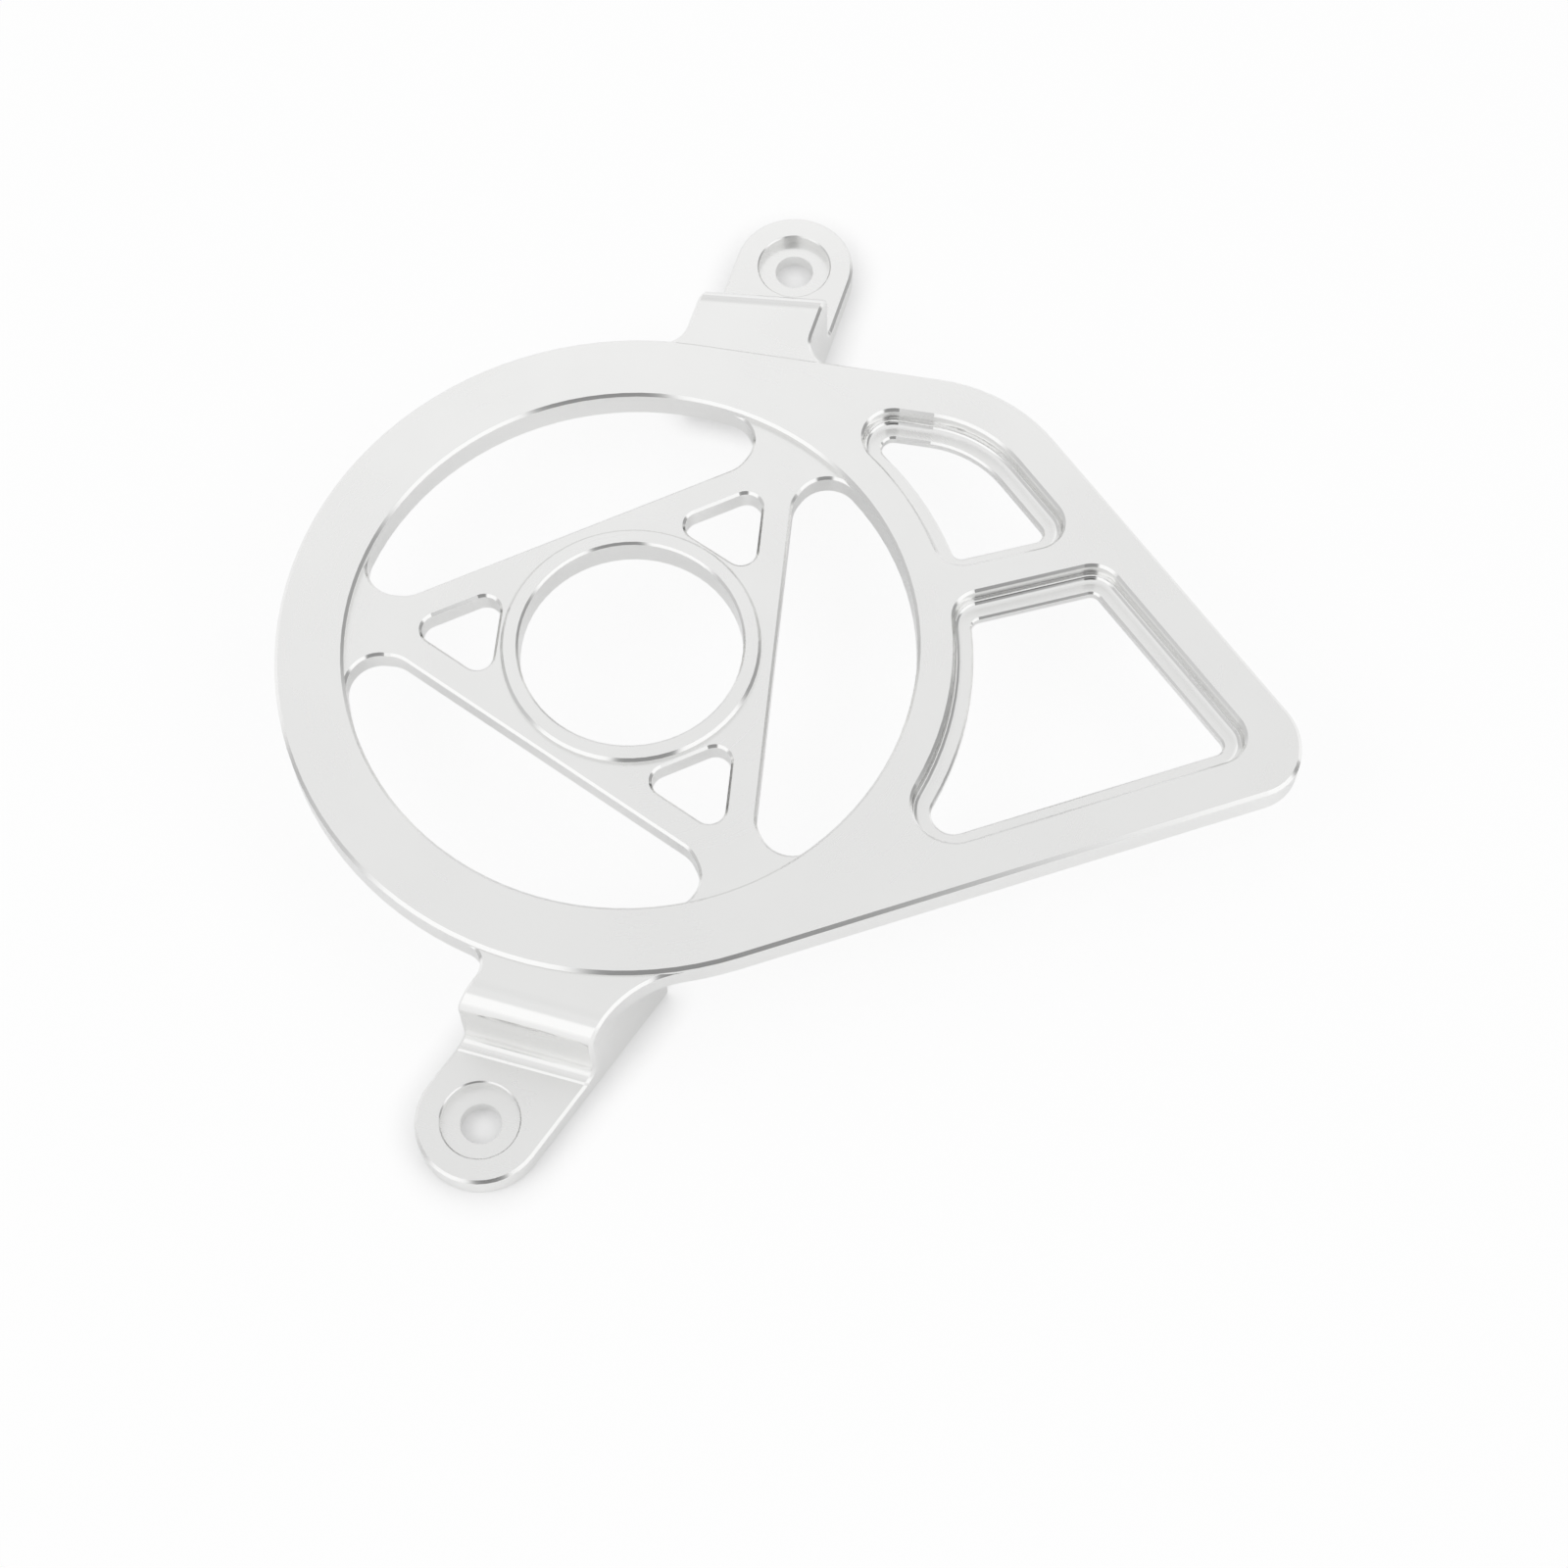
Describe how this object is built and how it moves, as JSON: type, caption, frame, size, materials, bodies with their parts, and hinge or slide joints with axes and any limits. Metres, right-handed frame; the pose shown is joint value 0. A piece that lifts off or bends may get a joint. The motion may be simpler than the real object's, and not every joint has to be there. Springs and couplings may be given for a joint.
{
  "type": "caliper guard",
  "caption": "Flat machined guard: a lightened ring with a three-armed centre, a nose with stepped windows and stepped bolt ears.",
  "frame": {"origin": "centre of the round centre bore, in the plane of the plate's flat back", "axes": "+Z comes out of the show face along the bore, +X runs towards the nose, +Y towards the upper ear"},
  "size_m": [0.1731, 0.1881, 0.023],
  "materials": {
    "guard": "satin machined"
  },
  "bodies": {
    "root": {"guard": "guard"}
  },
  "joints": []
}
